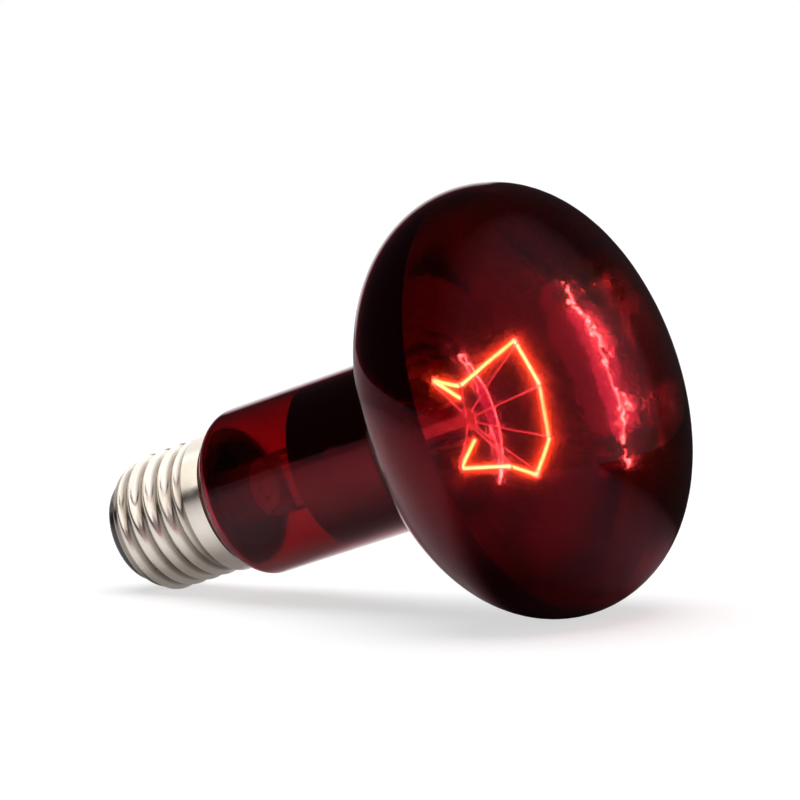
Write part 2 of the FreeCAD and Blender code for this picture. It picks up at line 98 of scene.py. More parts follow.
cap = {
    "height": 27.3,
    "sheet": 0.3,
    "threadRadius": 13.1,
    "threadDepth": 0.95,
    "threadPitch": 3.629,
    "threadStart": 6.3,
    "threadEnd": 22.2,
    "threadTurn": 180.0,
    "threadRunout": 1.8,
    "threadStep": 0.2,
    "skirtRadius": 13.4,
    "skirtStep": 1.2,
    "lipRadius": 10.8,
    "lipStation": 5.2,
    "steps": 144,
    "lipSteps": 6,
    "riseSteps": 3,
    "colour": (0.78, 0.74, 0.68, 1),
    "dull": (0.66, 0.61, 0.54, 1),
    "rootShade": (0.3, 0.26, 0.22, 1),   # painted shade: the thread's roots are coloured darker
    "rootShadeEdge": (12.62, 12.2),
    "roughness": (0.12, 0.3),
}

base = {
    "tipRadius": 6.3,
    "swell": 1.3,   # how far the glass bulges out of its cone, most of it near the lip
    "swellLean": 1.6,
    "swellSteps": 8,
    "seat": 2.6,
    "wall": 2.6,
    "contactStation": 1.2,
    "contactThick": 0.4,
    "contactRadius": 4.9,
    "eyeletRadius": 1.8,
    "eyeletDepth": 2.8,
    "bore": 0.8,
    "solderRadius": 3.0,
    "solderFlat": 1.3,
    "solderBulge": 2.2,
    "solderSteps": 8,
    "glassEdge": 0.25,
    "contactEdge": 0.12,
    "steps": 96,
}

mount = {
    "pressTop": 47.0,
    "rodRadius": 1.1,
    "buttonRadius": 2.15,
    "buttonHeight": 2.2,
    "buttonRound": 0.8,
    "roundSteps": 5,
    "buttonStation": 80.0,
    "turn": 8.0,
    "steps": 48,
    "paintedLightColour": (1.0, 0.25, 0.4, 1),   # painted light: the wires and button glow with this as if lit by the filament, though they are no lamps
    "wirePaintedLight": 0.8,
    "buttonPaintedLight": 0.15,
}

coil = {
    "outerRadius": 0.35,
    "wireRadius": 0.09,
    "pitch": 0.26,
    "sides": 6,
    "stepsPerTurn": 12,
    "bend": 0.8,
    "bendSteps": 6,
    "ringRadius": 13.5,
    "ringStation": 88.0,
    "leadSpacing": 7.2,
    "leadTail": 0.9,
    "colour": (0.8, 1.1, 0.022, 1),   # as seen straight through the ruby glass
    "dull": (0.8, 0.6, 0.01, 1),
    "mirrored": (2.2, 4.5, 1.3, 1),
    "strength": 60.0,
    # light that the filament spills on the mirror: its name, place, power, colour and radius
    "spills": [
        ("filamentGlow", (0.0, 0.0, 88.0), 0.008, (1.0, 0.35, 0.8), 12.0),
        ("rimGlow", (12.0, 80.0, 99.0), 0.0007, (1.0, 0.25, 0.3), 7.0),
    ],
    # each hook's angle, then how far it stands out of the ring and above it, in ring radii
    "hooks": [
        (-48.0, -0.15, -0.59),
        (-27.0, -0.16, 0.0),
        (11.0, 0.015, 0.0),
        (52.0, 0.01, 0.0),
        (96.0, 0.015, 0.015),
        (143.0, -0.015, 0.12),
        (240.0, -0.075, -0.075),
        (220.0, -0.155, -0.59),
    ],
}

view = {
    "place": (0.4002, -0.6111, 0.0878),
    "aim": (0.0100, -0.0080, 0.0384),
    "lens": 180,
}

stage = {
    "floor": 6.0,
    "sheetEdge": (0.035, 0.025),   # the white sheet ends here to the lamp's right
    "sheetSide": (-0.025, -0.015),   # and along the line of sight behind the bowl
    "sheetFront": (0.06, 0.04),
    "sheetColour": (0.8, 0.79, 0.785, 1),
    "farSheetShade": (0.15, 0.15, 0.15, 1),   # painted shade: the far parts of the sheet are coloured darker, as if less light fell there
    "farShadeEdge": (0.04, 0.3),
    "tableFront": (0.06, -0.06),
    "tableColour": (0.02, 0.016, 0.016, 1),
    "frontTable": (0.52, 0.3, 0.34, 1),
    "paperColour": (0.42, 0.42, 0.42, 1),
    "paperGlow": 0.64,
    "sheetGlow": 0.18,
    "wallColour": (1, 1, 1, 1),
    "roomColour": (0.03, 0.022, 0.024, 1),
    "frontColour": (0.38, 0.28, 0.3, 1),   # the dim side of the room that the face looks at
    "frontEdge": (0.3, 0.7),
    "wallEdge": (0.90, 0.97),
    "wallSide": (-0.045, -0.02),
    "wallFront": (0.8, 0.6),
    "sun": 2.95,
    "sunSize": 60.0,
    "sunPlace": (-0.2, 0.2, 1.2),
    "capSpot": (-0.04, 0, 0.02),
    "capPieces": ["screwShell", "brassContact", "tipSolder", "blackGlassBase"],
    # boxes that light the cap alone: name, place, width, height, power and colour
    "boxes": [
        ("topBox", (0.0, 0.2, 1.3), 2.4, 2.4, 25.0, (1, 0.98, 0.96)),
        ("sideBox", (-0.8, -0.55, 0.6), 1.3, 0.75, 4.0, (1, 0.95, 0.88)),
        ("frontBox", (0.1, -1.1, 0.65), 1.2, 0.75, 3.8, (1, 0.95, 0.88)),
        ("backBox", (-0.87, 0.42, 0.5), 1.0, 0.95, 3.4, (1, 0.98, 0.95)),
    ],
}


# Outlines are lists of (radius, station) in millimetres.
def arc(centre, radius, start, end, steps):
    spots = []
    for i in range(steps + 1):
        turn = math.radians(start + (end - start) * i / steps)
        spots.append((centre[0] + radius * math.cos(turn), centre[1] + radius * math.sin(turn)))
    return spots


def drawLine(name, spots):
    bpy.ops.object.select_all(action="DESELECT")
    bpy.ops.mesh.primitive_plane_add(size=mm)
    piece = bpy.context.object
    piece.name = name
    piece.data.name = name
    bpy.ops.object.mode_set(mode="EDIT")
    bpy.ops.mesh.select_all(action="SELECT")
    bpy.ops.mesh.merge(type="CENTER")
    bpy.ops.transform.translate(value=spots[0])
    for before, after in zip(spots, spots[1:]):
        bpy.ops.mesh.extrude_region_move(TRANSFORM_OT_translate={"value": after - before})
    bpy.ops.object.mode_set(mode="OBJECT")
    return piece


def applyModifier(piece, kind, **settings):
    bpy.ops.object.select_all(action="DESELECT")
    piece.select_set(True)
    bpy.context.view_layer.objects.active = piece
    modifier = piece.modifiers.new(kind.title(), kind)
    for name, value in settings.items():
        setattr(modifier, name, value)
    bpy.ops.object.modifier_apply(modifier=modifier.name)


def closeMesh(piece):
    bpy.ops.object.mode_set(mode="EDIT")
    bpy.ops.mesh.select_all(action="SELECT")
    bpy.ops.mesh.remove_doubles(threshold=weld)
    bpy.ops.mesh.normals_make_consistent(inside=False)
    bpy.ops.object.mode_set(mode="OBJECT")


def turnPiece(name, outline, steps):
    piece = drawLine(name, [Vector((r, 0, s)) * mm for r, s in outline])
    applyModifier(piece, "SCREW", axis="Z", angle=math.tau, screw_offset=0, steps=steps,
                  render_steps=steps, use_merge_vertices=True, merge_threshold=weld)
    closeMesh(piece)
    return piece


def layDown(piece, slot, *nodes, smooth=40.0):
    bpy.ops.object.select_all(action="DESELECT")
    piece.select_set(True)
    bpy.context.view_layer.objects.active = piece
    bpy.ops.object.shade_smooth_by_angle(angle=math.radians(smooth))
    piece.matrix_world = lampPlace
    bpy.ops.object.transform_apply(location=True, rotation=True, scale=True)
    if not piece.data.materials:
        piece.data.materials.append(finishes[slot])
    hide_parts(*nodes)
    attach(piece, "root")
    return piece


def addMath(tree, operation, first, second):
    node = tree.nodes.new("ShaderNodeMath")
    node.operation = operation
    for socket, given in zip(node.inputs, (first, second)):
        if isinstance(given, float):
            socket.default_value = given
        else:
            tree.links.new(given, socket)
    return node.outputs["Value"]


def addDot(tree, place, toward):
    node = tree.nodes.new("ShaderNodeVectorMath")
    node.operation = "DOT_PRODUCT"
    node.inputs[1].default_value = toward
    tree.links.new(place, node.inputs[0])
    return node.outputs["Value"]


def addEdge(tree, value, edge):
    node = tree.nodes.new("ShaderNodeMapRange")
    node.inputs["From Min"].default_value = edge[0]
    node.inputs["From Max"].default_value = edge[1]
    tree.links.new(value, node.inputs["Value"])
    return node.outputs["Result"]


def addMix(tree, share, first, second):
    node = tree.nodes.new("ShaderNodeMix")
    node.data_type = "RGBA"
    tree.links.new(share, node.inputs["Factor"])
    for socket, given in ((node.inputs["A"], first), (node.inputs["B"], second)):
        if isinstance(given, tuple):
            socket.default_value = given
        else:
            tree.links.new(given, socket)
    return node.outputs["Result"]


# Shared effects: each group puts out a value or a colour that varies over the surface.
def newGroup(name, inputs, outputs):
    group = bpy.data.node_groups.new(name, "ShaderNodeTree")
    for label, kind, value in inputs:
        socket = group.interface.new_socket(label, in_out="INPUT", socket_type="NodeSocket" + kind)
        socket.default_value = value
    for label, kind in outputs:
        group.interface.new_socket(label, in_out="OUTPUT", socket_type="NodeSocket" + kind)
    return group, group.nodes.new("NodeGroupInput"), group.nodes.new("NodeGroupOutput")


def noiseNode(tree, detail):
    noise = tree.nodes.new("ShaderNodeTexNoise")
    noise.inputs["Detail"].default_value = detail
    return noise


def makeMottle():
    group, given, made = newGroup(
        "mottle", [("Scale", "Float", 200.0), ("Low", "Float", 0.1), ("High", "Float", 0.3)],
        [("Value", "Float")])
    place = group.nodes.new("ShaderNodeTexCoord")
    noise = noiseNode(group, 4.0)
    spread = group.nodes.new("ShaderNodeMapRange")
    spread.inputs["From Min"].default_value = 0.3
    spread.inputs["From Max"].default_value = 0.7
    group.links.new(place.outputs["Object"], noise.inputs["Vector"])
    group.links.new(given.outputs["Scale"], noise.inputs["Scale"])
    group.links.new(noise.outputs["Fac"], spread.inputs["Value"])
    group.links.new(given.outputs["Low"], spread.inputs["To Min"])
    group.links.new(given.outputs["High"], spread.inputs["To Max"])
    group.links.new(addMath(group, "MAXIMUM", spread.outputs["Result"], 0.0), made.inputs["Value"])
    return group


def makeRipple():
    group, given, made = newGroup(
        "ripple", [("Scale", "Float", 60.0), ("Fine", "Float", 0.3)], [("Height", "Float")])
    place = group.nodes.new("ShaderNodeTexCoord")
    broad = noiseNode(group, 1.0)
    small = noiseNode(group, 2.0)
    finer = group.nodes.new("ShaderNodeMath")
    finer.operation = "MULTIPLY"
    finer.inputs[1].default_value = 3.7
    mix = group.nodes.new("ShaderNodeMath")
    mix.operation = "MULTIPLY_ADD"
    group.links.new(place.outputs["Object"], broad.inputs["Vector"])
    group.links.new(place.outputs["Object"], small.inputs["Vector"])
    group.links.new(given.outputs["Scale"], broad.inputs["Scale"])
    group.links.new(given.outputs["Scale"], finer.inputs[0])
    group.links.new(finer.outputs["Value"], small.inputs["Scale"])
    group.links.new(small.outputs["Fac"], mix.inputs[0])
    group.links.new(given.outputs["Fine"], mix.inputs[1])
    group.links.new(broad.outputs["Fac"], mix.inputs[2])
    group.links.new(mix.outputs["Value"], made.inputs["Height"])
    return group


def makeStain():
    group, given, made = newGroup(
        "stain", [("Scale", "Float", 150.0), ("Clean", "Color", (1, 1, 1, 1)),
                  ("Dull", "Color", (0.5, 0.5, 0.5, 1)), ("Cover", "Float", 0.5)],
        [("Color", "Color")])
    place = group.nodes.new("ShaderNodeTexCoord")
    noise = noiseNode(group, 5.0)
    edge = group.nodes.new("ShaderNodeMapRange")
    edge.inputs["From Min"].default_value = 0.42
    edge.inputs["From Max"].default_value = 0.72
    mix = group.nodes.new("ShaderNodeMix")
    mix.data_type = "RGBA"
    group.links.new(place.outputs["Object"], noise.inputs["Vector"])
    group.links.new(given.outputs["Scale"], noise.inputs["Scale"])
    group.links.new(noise.outputs["Fac"], edge.inputs["Value"])
    group.links.new(given.outputs["Cover"], edge.inputs["To Max"])
    group.links.new(edge.outputs["Result"], mix.inputs["Factor"])
    group.links.new(given.outputs["Clean"], mix.inputs["A"])
    group.links.new(given.outputs["Dull"], mix.inputs["B"])
    group.links.new(mix.outputs["Result"], made.inputs["Color"])
    return group


mottle = makeMottle()
ripple = makeRipple()
stain = makeStain()


def newMaterial(name, **sockets):
    material = bpy.data.materials.new(name)
    material.use_nodes = True
    shader = material.node_tree.nodes["Principled BSDF"]
    for label, value in sockets.items():
        shader.inputs[label.replace("_", " ")].default_value = value
    return material, shader


def useGroup(material, group, output, socket, **values):
    node = material.node_tree.nodes.new("ShaderNodeGroup")
    node.node_tree = group
    for label, value in values.items():
        node.inputs[label].default_value = value
    if socket is not None:
        material.node_tree.links.new(node.outputs[output], socket)
    return node


def useBump(material, shader, distance, **values):
    node = useGroup(material, ripple, "Height", None, **values)
    bump = material.node_tree.nodes.new("ShaderNodeBump")
    bump.inputs["Strength"].default_value = 1.0
    bump.inputs["Distance"].default_value = distance * mm
    material.node_tree.links.new(node.outputs["Height"], bump.inputs["Height"])
    material.node_tree.links.new(bump.outputs["Normal"], shader.inputs["Normal"])


def rubyGlass(name, roughness, scale):
    material, shader = newMaterial(name, Transmission_Weight=1.0, IOR=bulb["ior"],
                                   Specular_Tint=bulb["shine"])
    low, high = roughness
    useGroup(material, mottle, "Value", shader.inputs["Roughness"], Scale=scale, Low=low, High=high)
    useBump(material, shader, bulb["wave"], Scale=45.0, Fine=0.2)
    slant = material.node_tree.nodes.new("ShaderNodeLayerWeight")
    slant.inputs["Blend"].default_value = bulb["edgeBlend"]
    colour = addMix(material.node_tree, slant.outputs["Facing"], bulb["tint"], bulb["edgeTint"])
    material.node_tree.links.new(colour, shader.inputs["Base Color"])
    return material


def mirrorFilm(name, clean, dull):
    material, shader = newMaterial(name, Metallic=1.0)
    useGroup(material, stain, "Color", shader.inputs["Base Color"], Scale=70.0, Clean=clean,
             Dull=dull, Cover=0.6)
    low, high = film["roughness"]
    useGroup(material, mottle, "Value", shader.inputs["Roughness"], Scale=60.0, Low=low, High=high)
    useBump(material, shader, film["ripple"], Scale=70.0, Fine=0.25)
    return material


# glow is painted light: emission that stands in for the filament's light on the glass.
def clearGlass(name, glow):
    material, shader = newMaterial(name, Base_Color=(0.86, 0.88, 0.87, 1), Transmission_Weight=0.8,
                                   IOR=1.56, Emission_Strength=glow, Emission_Color=mount["paintedLightColour"])
    useGroup(material, mottle, "Value", shader.inputs["Roughness"], Scale=300.0, Low=0.02, High=0.12)
    useBump(material, shader, 0.05, Scale=180.0, Fine=0.3)
    return material


def hotTungsten():
    material, shader = newMaterial("hotTungsten", Emission_Strength=coil["strength"], Roughness=0.5)
    tree = material.node_tree
    mirrored = tree.nodes.new("ShaderNodeLightPath").outputs["Is Reflection Ray"]
    straight = useGroup(material, stain, "Color", None, Scale=90.0, Clean=coil["colour"],
                        Dull=coil["dull"], Cover=0.5).outputs["Color"]
    tree.links.new(addMix(tree, mirrored, straight, coil["mirrored"]), shader.inputs["Emission Color"])
    return material


# glow is painted light: emission that stands in for the filament's light on the metal.
def metal(name, clean, dull, roughness, scale, bump, glow=0.0):
    material, shader = newMaterial(name, Metallic=1.0, Emission_Strength=glow,
                                   Emission_Color=mount["paintedLightColour"])
    useGroup(material, stain, "Color", shader.inputs["Base Color"], Scale=scale, Clean=clean,
             Dull=dull, Cover=0.6)
    low, high = roughness
    useGroup(material, mottle, "Value", shader.inputs["Roughness"], Scale=scale * 2, Low=low, High=high)
    useBump(material, shader, bump, Scale=scale * 2, Fine=0.4)
    return material


def nickelShell():
    material = metal("nickelShell", cap["colour"], cap["dull"], cap["roughness"], scale=130.0, bump=0.01)
    tree = material.node_tree
    shader = tree.nodes["Principled BSDF"]
    plating = shader.inputs["Base Color"].links[0].from_socket
    spot = tree.nodes.new("ShaderNodeTexCoord").outputs["Object"]
    fromTip = tree.nodes.new("ShaderNodeVectorMath")
    fromTip.operation = "SUBTRACT"
    fromTip.inputs[1].default_value = lampTip
    across = tree.nodes.new("ShaderNodeVectorMath")
    across.operation = "CROSS_PRODUCT"
    across.inputs[1].default_value = lampAxis
    radius = tree.nodes.new("ShaderNodeVectorMath")
    radius.operation = "LENGTH"
    tree.links.new(spot, fromTip.inputs[0])
    tree.links.new(fromTip.outputs["Vector"], across.inputs[0])
    tree.links.new(across.outputs["Vector"], radius.inputs[0])
    # Painted shade: the plating turns darker towards the thread's roots, going by distance from the lamp's
    # axis.
    root = addEdge(tree, radius.outputs["Value"], [edge * mm for edge in cap["rootShadeEdge"]])
    tree.links.new(addMix(tree, root, plating, cap["rootShade"]), shader.inputs["Base Color"])
    return material


def blackGlass():
    material, shader = newMaterial("blackGlass", IOR=1.52, Specular_IOR_Level=0.5)
    useGroup(material, stain, "Color", shader.inputs["Base Color"], Scale=250.0,
             Clean=(0.012, 0.011, 0.012, 1), Dull=(0.035, 0.03, 0.03, 1), Cover=0.7)
    useGroup(material, mottle, "Value", shader.inputs["Roughness"], Scale=300.0, Low=0.08, High=0.25)
    useBump(material, shader, 0.03, Scale=150.0, Fine=0.3)
    return material


def bakedCement():
    material, shader = newMaterial("bakedCement")
    useGroup(material, stain, "Color", shader.inputs["Base Color"], Scale=500.0,
             Clean=(0.5, 0.42, 0.32, 1), Dull=(0.3, 0.24, 0.17, 1), Cover=0.8)
    useGroup(material, mottle, "Value", shader.inputs["Roughness"], Scale=600.0, Low=0.7, High=0.95)
    useBump(material, shader, 0.12, Scale=900.0, Fine=0.6)
    return material


finishes = {
    "ruby_glass": rubyGlass("rubyGlass", bulb["outside"], bulb["outsideScale"]),
    "mirror_film": mirrorFilm("mirrorFilm", film["colour"], film["dull"]),
    "clear_glass": clearGlass("clearGlass", 0.0),
    "hot_tungsten": hotTungsten(),
    # The molybdenum wires glow with painted light from the filament.
    "molybdenum_wire": metal("molybdenumWire", clean=(0.5, 0.48, 0.47, 1), dull=(0.3, 0.28, 0.27, 1),
                             roughness=(0.25, 0.45), scale=400.0, bump=0.005, glow=mount["wirePaintedLight"]),
    "nickel_wire": metal("nickelWire", clean=(0.66, 0.62, 0.57, 1), dull=(0.42, 0.38, 0.33, 1),
                         roughness=(0.2, 0.4), scale=400.0, bump=0.005),
    "copper_wire": metal("copperWire", clean=(0.78, 0.4, 0.24, 1), dull=(0.4, 0.2, 0.12, 1),
                         roughness=(0.25, 0.45), scale=400.0, bump=0.005),
    "nickel_shell": nickelShell(),
    "black_glass": blackGlass(),
    "brass": metal("brass", clean=(0.8, 0.6, 0.28, 1), dull=(0.5, 0.36, 0.16, 1),
                   roughness=(0.2, 0.4), scale=350.0, bump=0.02),
    "solder": metal("solder", clean=(0.62, 0.61, 0.6, 1), dull=(0.4, 0.4, 0.4, 1),
                    roughness=(0.3, 0.55), scale=450.0, bump=0.06),
    "cement": bakedCement(),
}
print("materials ready")


# Bulb: one blown ruby glass envelope, and the mirror film inside it.
def bowlCentre():
    return (bulb["bowlRadius"] - bulb["rimBend"], bulb["bowlStation"])


def faceArc():
    span = bulb["faceRadius"] - bulb["rimBend"]
    bendRadius, station = bowlCentre()
    drop = math.sqrt(span ** 2 - bendRadius ** 2)
    return station - drop, math.degrees(math.atan2(drop, bendRadius))


def bulbOutline():
    faceCentre, meet = faceArc()
    back = bulb["bowlStation"] - bulb["rimBend"]
    neck = bulb["neckRadius"]
    spots = [
        (0.0, bulb["sealStation"]),
        (bulb["sealRadius"], bulb["sealStation"]),
        (bulb["sealRadius"], bulb["sealStation"] + bulb["sealHeight"]),
        (bulb["entryRadius"], bulb["entryStation"]),
        (bulb["entryRadius"], bulb["shoulderStation"]),
    ]
    bend = bulb["shoulderBend"]
    spots += arc((neck - bend, bulb["shoulderStation"] + bend), bend, -90, 0, bulb["bendSteps"])
    fillet = bulb["neckFillet"]
    spots += arc((neck + fillet, back - fillet), fillet, 180, 90, bulb["bendSteps"])
    spots += arc(bowlCentre(), bulb["rimBend"], -90, meet, bulb["rimSteps"])
    spots += arc((0.0, faceCentre), bulb["faceRadius"], meet, 90, bulb["faceSteps"])[1:]
    return spots


def makeBulb():
    piece = turnPiece("glassBulb", bulbOutline(), bulb["steps"])
    piece.data.materials.append(finishes["ruby_glass"])
    piece.data.materials.append(rubyGlass("rubyGlassInside", bulb["inside"], bulb["insideScale"]))
    applyModifier(piece, "SOLIDIFY", thickness=bulb["wall"] * mm, offset=-1, use_even_offset=True,
                  material_offset=1, material_offset_rim=1)
    return layDown(piece, "ruby_glass", "glass_envelope")


def makeFilm():
    seat = bulb["wall"] + film["gap"]
    neck = bulb["neckRadius"] - seat
    fillet = bulb["neckFillet"] + seat
    bend = bulb["rimBend"] - seat
    back = bulb["bowlStation"] - bulb["rimBend"] + seat
    spots = [(neck, film["start"])]
    spots += arc((neck + fillet, back - fillet), fillet, 180, 90, bulb["bendSteps"])
    spots += arc(bowlCentre(), bend, -90, film["pastRim"], film["rimSteps"])
    piece = turnPiece("mirrorLining", spots, bulb["steps"])
    # The side under the glass gets a darker copy of the mirror: painted shade.
    piece.data.materials.append(mirrorFilm("mirrorBackShaded", film["backShade"], film["backShadeDull"]))
    piece.data.materials.append(finishes["mirror_film"])
    applyModifier(piece, "SOLIDIFY", thickness=film["thick"] * mm, offset=-1, use_even_offset=True,
                  material_offset=1, material_offset_rim=1)
    return layDown(piece, "mirror_film", "reflector_film")


makeBulb()
makeFilm()
print("bulb and mirror ready")


# Screw cap: thin nickel-plated shell with a rolled thread.
def threadSwell(station):
    swell = cap["threadDepth"] / 2
    for distance in (station - cap["threadStart"], cap["threadEnd"] - station):
        share = min(max(distance / cap["threadRunout"], 0.0), 1.0)
        swell *= share * share * (3 - 2 * share)
    return swell


def makeShell():
    root = cap["threadRadius"] - cap["threadDepth"]
    bend = cap["threadStart"] - cap["lipStation"]
    spots = [(cap["lipRadius"], cap["lipStation"])]
    spots += arc((root - bend, cap["threadStart"]), bend, -90, 0, cap["lipSteps"])
    count = round((cap["threadEnd"] - cap["threadStart"]) / cap["threadStep"])
    for i in range(1, count + 1):
        spots.append((root, cap["threadStart"] + (cap["threadEnd"] - cap["threadStart"]) * i / count))
    rise = (cap["skirtRadius"] - root) / 2
    middle = (root + rise, cap["threadEnd"] + cap["skirtStep"] / 2)
    spots += arc(middle, rise, 180, 90, cap["riseSteps"])[1:-1]
    spots.append((cap["skirtRadius"], cap["threadEnd"] + cap["skirtStep"]))
    spots.append((cap["skirtRadius"], cap["height"]))
    piece = turnPiece("screwShell", spots, cap["steps"])
    crest = piece.vertex_groups.new(name="crest")
    for vertex in piece.data.vertices:
        station = vertex.co.z / mm
        turn = math.tau * (station - cap["threadStart"]) / cap["threadPitch"]
        turn += math.radians(cap["threadTurn"])
        around = math.atan2(vertex.co.y, vertex.co.x)
        lift = threadSwell(station) * (1 + math.cos(around - turn))
        crest.add([vertex.index], lift / cap["threadDepth"], "REPLACE")
    applyModifier(piece, "DISPLACE", vertex_group="crest", strength=cap["threadDepth"] * mm, mid_level=0)
    applyModifier(piece, "SOLIDIFY", thickness=cap["sheet"] * mm, offset=-1, use_even_offset=True)
    return layDown(piece, "nickel_shell", "screw_shell", smooth=50.0)


def makeInsulator():
    tip = base["contactStation"] + base["contactThick"]
    seat = cap["lipStation"] + base["seat"]
    out = Vector((cap["lipRadius"] - base["tipRadius"], cap["lipStation"] - tip))
    away = Vector((out.y, -out.x)).normalized() * base["swell"]
    spots = [(base["eyeletRadius"], tip)]
    for i in range(base["swellSteps"] + 1):
        share = i / base["swellSteps"]
        swell = away * math.sin(math.pi * share ** base["swellLean"]) ** 2
        spots.append((base["tipRadius"] + out.x * share + swell.x, tip + out.y * share + swell.y))
    spots += [
        (cap["lipRadius"], seat),
        (cap["lipRadius"] - base["wall"], seat),
        (base["tipRadius"] - base["wall"] / 2, tip + base["eyeletDepth"]),
        (base["eyeletRadius"], tip + base["eyeletDepth"]),
        (base["eyeletRadius"], tip),
    ]
    piece = turnPiece("blackGlassBase", spots, base["steps"])
    applyModifier(piece, "BEVEL", width=base["glassEdge"] * mm, segments=3, limit_method="ANGLE",
                  angle_limit=math.radians(25))
    return layDown(piece, "black_glass", "cap_insulator")


def makeContact():
    low = base["contactStation"]
    tip = low + base["contactThick"]
    spots = [
        (base["bore"], low),
        (base["contactRadius"], low),
        (base["contactRadius"], tip),
        (base["eyeletRadius"], tip),
        (base["eyeletRadius"], tip + base["eyeletDepth"]),
        (base["bore"], tip + base["eyeletDepth"]),
        (base["bore"], low),
    ]
    piece = turnPiece("brassContact", spots, base["steps"])
    applyModifier(piece, "BEVEL", width=base["contactEdge"] * mm, segments=2, limit_method="ANGLE",
                  angle_limit=math.radians(40))
    return layDown(piece, "brass", "centre_contact")


def makeSolder():
    height = base["contactStation"]
    across = base["solderRadius"] - base["solderFlat"]
    chord = math.hypot(across, height)
    lean = math.degrees(math.atan2(height, across))
    half = math.degrees(math.asin(chord / 2 / base["solderBulge"]))
    centre = (
        (base["solderRadius"] + base["solderFlat"]) / 2
        - base["solderBulge"] * math.cos(math.radians(half)) * height / chord,
        height / 2 + base["solderBulge"] * math.cos(math.radians(half)) * across / chord,
    )
    spots = [(0.0, 0.0)]
    spots += arc(centre, base["solderBulge"], lean - 90 - half, lean - 90 + half, base["solderSteps"])
    spots.append((0.0, height))
    piece = turnPiece("tipSolder", spots, base["steps"])
    return layDown(piece, "solder", "centre_solder", smooth=60.0)


makeShell()
makeInsulator()
makeContact()
makeSolder()
print("cap ready")


# Rod and button: clear glass, with the support wires in the button.
def makeButton():
    foot = mount["buttonStation"] - mount["buttonHeight"] / 2
    head = mount["buttonStation"] + mount["buttonHeight"] / 2
    rim = mount["buttonRadius"] - mount["buttonRound"]
    bend = mount["buttonRound"]
    spots = [(0.0, mount["pressTop"]), (mount["rodRadius"], mount["pressTop"]), (mount["rodRadius"], foot)]
    spots += arc((rim, foot + bend), bend, -90, 0, mount["roundSteps"])
    spots += arc((rim, head - bend), bend, 0, 90, mount["roundSteps"])
    spots.append((0.0, head))
    piece = turnPiece("rodAndButton", spots, mount["steps"])
    # The button glows with painted light from the filament.
    piece.data.materials.append(clearGlass("buttonGlass", mount["buttonPaintedLight"]))
    return layDown(piece, "clear_glass", "arbor_rod")


# Filament: a wound coil bent along its route over the hooks.
def polar(radius, degrees, station):
    turn = math.radians(degrees + mount["turn"])
    return Vector((radius * math.cos(turn), radius * math.sin(turn), station)) * mm


def coilRoute():
    ring = coil["ringRadius"]
    corners = [polar(ring * (1 + out), degrees, coil["ringStation"] + ring * rise)
               for degrees, out, rise in coil["hooks"]]
    ends = []
    for degrees, corner in ((0.0, corners[0]), (180.0, corners[-1])):
        top = polar(coil["leadSpacing"] / 2, degrees, mount["buttonStation"])
        ends.append(top + (corner - top).normalized() * coil["leadTail"] * mm)
    corners = [ends[0]] + corners + [ends[1]]
    route = [corners[0]]
    for before, corner, after in zip(corners, corners[1:], corners[2:]):
        come = (corner - before).normalized()
        go = (after - corner).normalized()
        reach = coil["bend"] * mm * math.tan(come.angle(go) / 2)
        start = corner - come * reach
        end = corner + go * reach
        for i in range(coil["bendSteps"] + 1):
            share = i / coil["bendSteps"]
            route.append(start.lerp(corner, share).lerp(corner.lerp(end, share), share))
    return route + [corners[-1]]


def makeCoil():
    route = coilRoute()
    length = sum((b - a).length for a, b in zip(route, route[1:]))
    path = drawLine("coilPath", route)
    bpy.ops.object.convert(target="CURVE")
    turns = round(length / (coil["pitch"] * mm))
    bpy.ops.object.select_all(action="DESELECT")
    wire = coil["wireRadius"] * mm
    bpy.ops.mesh.primitive_circle_add(
        vertices=coil["sides"], radius=wire, rotation=(math.radians(90), 0, 0),
        location=(coil["outerRadius"] * mm - wire, 0, 0))
    piece = bpy.context.object
    piece.name = "woundCoil"
    piece.data.name = "woundCoil"
    bpy.ops.object.transform_apply(location=True, rotation=True, scale=True)
    applyModifier(piece, "SCREW", axis="Z", angle=math.tau, screw_offset=length / turns,
                  iterations=turns, steps=coil["stepsPerTurn"], render_steps=coil["stepsPerTurn"])
    closeMesh(piece)
    applyModifier(piece, "CURVE", object=path, deform_axis="POS_Z")
    bpy.data.objects.remove(path)
    return layDown(piece, "hot_tungsten", "filament", smooth=60.0)


makeButton()
makeCoil()
print("filament ready")

for row in frame["record"]["subparts"]:
    node = frame["nodes"][row["node"]]
    node.data.materials.clear()
    node.data.materials.append(finishes[row["material_slot"]])


# Stage: a white sheet under the lamp in a dark room, with a white wall behind.
def seenThrough(tree, path):
    straight = addMath(tree, "LESS_THAN", path.outputs["Glossy Depth"], 0.5)
    return addMath(tree, "MULTIPLY", straight, path.outputs["Is Transmission Ray"])


